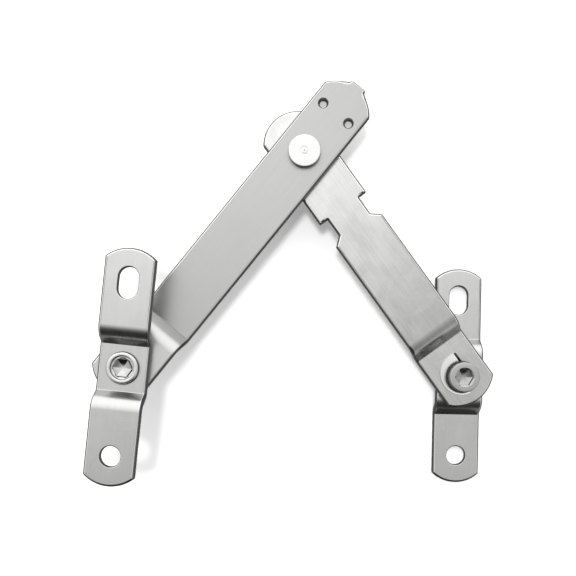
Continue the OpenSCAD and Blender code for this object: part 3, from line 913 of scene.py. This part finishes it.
class HINGE_OT_spring_washers(Operator):
    """Coil the two split spring washers"""
    bl_idname = "hinge.spring_washers"
    bl_label = "Spring washers"

    def execute(self, context):
        size = context.scene.hinge_pivot
        finish = pressed_stainless("coiled_spring_steel", "spring", brushed=0.05, clouded=0.15,
                                   rough=0.3)
        for side, (home, body) in SIDES.items():
            low, high = reach(side + "_spring_washer", home)
            outer, inner = high.x, size.screw_r + 0.1 * MM
            # Rise of the coil from end to end, and slant of its two cut ends in radians
            wind, slant = 0.12 * MM, 0.12
            thick = high.z - low.z - wind
            section = rounded([Vector(p) for p in (
                (inner, 0), (outer, 0), (outer, thick), (inner, thick))], 0.2 * MM, True, 3)
            half_gap = size.spring_gap / 2 / outer
            start = math.radians(-8) + half_gap
            stations = 72
            bm = bmesh.new()
            wall = bm.verts.layers.float.new("wall")
            rings = []
            for i in range(stations + 1):
                share = i / stations
                ring = []
                for p in section:
                    turn = start + share * (math.tau - 2 * half_gap)
                    turn += slant * (p.y / thick - 0.5)
                    vert = bm.verts.new((p.x * math.cos(turn), p.x * math.sin(turn),
                                         low.z + p.y + wind * share))
                    # Painted shade on the wire's outside, for the shaded gap beside the screw head
                    vert[wall] = 1 if p.x > (inner + outer) / 2 else 0
                    ring.append(vert)
                rings.append(ring)
            for a, b in zip(rings, rings[1:]):
                join_rings(bm, a, b)
            bm.faces.new(rings[0])
            bm.faces.new(rings[-1])
            piece(side + "_spring_washer_looks", bm, home, body, finish)
        return {"FINISHED"}


class HINGE_OT_elbow_rivet(Operator):
    """Turn the elbow rivet and peen its tail"""
    bl_idname = "hinge.elbow_rivet"
    bl_label = "Elbow rivet"

    def execute(self, context):
        size = context.scene.hinge_pivot
        finish = turned_stainless("turned_stainless_rivet", "bright", rough=0.3, ring_depth=0.22,
                                  side_shade=0.15)
        low, high = reach("elbow_rivet", AT_ELBOW)
        head_r, top = high.x, high.z
        under, tail = top - size.rivet_head_h, low.z + size.rivet_tail_h
        crown = 0.35 * MM
        # The peened tail has a shallow dimple. The head is faintly crowned, with a turned centre
        # mark. All are (radius, height).
        peened = eased([(0.9 * MM, low.z + 0.12 * MM), (1.2 * MM, low.z),
                        (size.rivet_tail_r - crown, low.z + 0.1 * MM), (size.rivet_tail_r, tail),
                        (size.rivet_r, tail)], 0.45 * MM)
        head = eased([(size.rivet_r, under), (head_r, under), (head_r, top - 0.05 * MM),
                      (head_r - crown, top - 0.02 * MM), (1.25 * MM, top)], 0.4 * MM)
        centre = [(1.05 * MM, top - 0.09 * MM), (0.8 * MM, top - 0.02 * MM),
                  (0.3 * MM, top - 0.02 * MM), (0, top - 0.04 * MM)]
        bm = spun([(0, low.z + 0.25 * MM)] + peened + head + centre)
        piece("elbow_rivet_looks", bm, AT_ELBOW, "lower_arm", finish)
        return {"FINISHED"}


def flat_washer(name, home, body, bore, finish):
    """A flat washer with softened edges."""
    low, high = reach(name, home)
    edge = 0.15 * MM
    profile = eased([(bore, low.z), (high.x, low.z), (high.x, high.z), (bore, high.z)],
                    edge, closed=True)
    piece(name + "_looks", spun(profile, closed=True), home, body, finish)


class HINGE_OT_friction_washers(Operator):
    """Mould the three friction washers"""
    bl_idname = "hinge.friction_washers"
    bl_label = "Friction washers"

    def execute(self, context):
        scene = context.scene
        finish = moulded_nylon()
        gap = scene.hinge_arm.bore_gap
        for side, (home, body) in SIDES.items():
            bore = scene.hinge_pivot.sleeve_r + gap
            flat_washer(side + "_friction_washer", home, body, bore, finish)
        bore = scene.hinge_pivot.rivet_r + gap
        flat_washer("elbow_friction_washer", AT_ELBOW, "lower_arm", bore, finish)
        return {"FINISHED"}


class HINGE_OT_elbow_springs(Operator):
    """Press the disc spring and the tail washer under the elbow"""
    bl_idname = "hinge.elbow_springs"
    bl_label = "Elbow springs"

    def execute(self, context):
        scene = context.scene
        bore = scene.hinge_pivot.rivet_r + scene.hinge_arm.bore_gap
        spring = pressed_stainless("pressed_spring_steel", "spring", brushed=0.04, clouded=0.15,
                                   rough=0.28)
        low, high = reach("elbow_disc_spring", AT_ELBOW)
        thick = 0.5 * MM
        profile = eased([(bore, low.z), (high.x, high.z - thick), (high.x, high.z),
                         (bore, low.z + thick)], 0.12 * MM, closed=True)
        bm = spun(profile, closed=True)
        piece("elbow_disc_spring_looks", bm, AT_ELBOW, "lower_arm", spring)
        turned = turned_stainless("turned_stainless_washer", "bright", rough=0.3, ring_depth=0.2,
                                  side_shade=0.15)
        flat_washer("elbow_tail_washer", AT_ELBOW, "lower_arm", bore, turned)
        return {"FINISHED"}


class HINGE_OT_studio(Operator):
    """Lay the floor, light it softly and set up the camera"""
    bl_idname = "hinge.studio"
    bl_label = "Studio"

    def execute(self, context):
        scene = context.scene
        scene.view_settings.view_transform = "Standard"
        bm = bmesh.new()
        bmesh.ops.create_grid(bm, x_segments=8, y_segments=8, size=2)
        mesh = bpy.data.meshes.new("studio_floor")
        bm.to_mesh(mesh)
        bm.free()
        mesh.materials.append(painted_floor())
        floor = new_object("studio_floor", mesh)
        floor.location.z = CAD_BOX[0][2] - 0.1 * MM
        floor.visible_glossy = False
        self.light_room(scene, floor)
        self.aim_camera(scene)
        return {"FINISHED"}

    def light_room(self, scene, floor):
        """A pale room with a window behind and to the left and a dark curtain in front. A lamp
        overhead lights the floor alone, so that it stays white with tight soft shadows. The
        camera sees the room itself as an even pale grey."""
        world = bpy.data.worlds.new("studio_room")
        scene.world = world
        world.use_nodes = True
        tree = world.node_tree
        tree.nodes.clear()
        towards = add(tree, "ShaderNodeTexCoord").outputs["Generated"]
        window = self.lobe(tree, towards, (-0.22, 0.88, 0.41), 0.2, 0.97, 0, 1.25)
        curtain = self.lobe(tree, towards, (-0.05, -0.85, 0.5), 0.58, 0.9, 1, 0.02)
        ground = self.lobe(tree, towards, (0, 0, 1), -0.6, 0.2, 0.3, 1)
        sky = add(tree, "ShaderNodeMath", {0: window, 1: 1.0}, operation="ADD")
        shaded = add(tree, "ShaderNodeMath", {0: sky, 1: curtain},
                     operation="MULTIPLY")
        total = add(tree, "ShaderNodeMath", {0: shaded, 1: ground},
                    operation="MULTIPLY")
        seen = add(tree, "ShaderNodeLightPath").outputs["Is Camera Ray"]
        strength = add(tree, "ShaderNodeMix", {
            "Factor": seen, "A": total, "B": 0.95}, data_type="FLOAT")
        room = add(tree, "ShaderNodeBackground", {
            "Color": (1, 1, 1, 1), "Strength": strength})
        add(tree, "ShaderNodeOutputWorld", {"Surface": room})
        lamp = bpy.data.lights.new("floor_lamp", "SUN")
        lamp.energy = 1.6
        lamp.angle = math.radians(9)
        floor_lamp = new_object("floor_lamp", lamp)
        floor_lamp.location = (-0.1, 0.15, 0.5)
        floor_lamp.rotation_euler = (math.radians(-3), math.radians(-3), 0)
        lit = bpy.data.collections.new("lit_by_floor_lamp")
        lit.objects.link(floor)
        floor_lamp.light_linking.receiver_collection = lit

    def lobe(self, tree, towards, axis, start, end, low, high):
        """Brightness that changes smoothly from low to high as a direction nears an axis."""
        near = add(tree, "ShaderNodeVectorMath", {0: towards, 1: Vector(axis).normalized()},
                   operation="DOT_PRODUCT").outputs["Value"]
        return add(tree, "ShaderNodeMapRange", {
            "Value": near, "From Min": start, "From Max": end, "To Min": low, "To Max": high},
            interpolation_type="SMOOTHSTEP")

    def aim_camera(self, scene):
        """Straight above, a little to the left of the frame pivot."""
        lens = bpy.data.cameras.new("studio_camera")
        camera = new_object("studio_camera", lens)
        pivot = JOINTS["frame_pivot"]
        left, further, height = 44.37 * MM, 3.53 * MM, 225.4 * MM
        camera.location = (pivot.x - left, pivot.y + further, height)
        camera.rotation_euler = (0, 0, math.radians(1.15))
        lens.lens = 47.1
        lens.shift_x = -0.0342
        lens.shift_y = 0.1278
        lens.clip_start = 0.01
        scene.camera = camera


OPERATORS = (
    HINGE_OT_brackets, HINGE_OT_notched_arm, HINGE_OT_stop_arm, HINGE_OT_barrel_nuts,
    HINGE_OT_pivot_screws, HINGE_OT_spring_washers, HINGE_OT_elbow_rivet,
    HINGE_OT_friction_washers, HINGE_OT_elbow_springs, HINGE_OT_studio,
)


class HINGE_PT_panel(Panel):
    """Lists the steps that build the hinge"""
    bl_idname = "HINGE_PT_panel"
    bl_label = "Friction stay hinge"
    bl_space_type = "VIEW_3D"
    bl_region_type = "UI"
    bl_category = "Hinge"

    def draw(self, context):
        for step in OPERATORS:
            self.layout.operator(step.bl_idname)
        for group, kind in GROUPS.items():
            box = self.layout.box()
            for name in kind.__annotations__:
                box.prop(getattr(context.scene, group), name)


def register():
    for kind in (*GROUPS.values(), *OPERATORS, HINGE_PT_panel):
        bpy.utils.register_class(kind)
    for name, kind in GROUPS.items():
        setattr(bpy.types.Scene, name, PointerProperty(type=kind))


def unregister():
    for name in GROUPS:
        delattr(bpy.types.Scene, name)
    for kind in reversed((*GROUPS.values(), *OPERATORS, HINGE_PT_panel)):
        bpy.utils.unregister_class(kind)


def main():
    register()
    for step in OPERATORS:
        group, name = step.bl_idname.split(".")
        getattr(getattr(bpy.ops, group), name)()


if __name__ == "__main__":
    main()
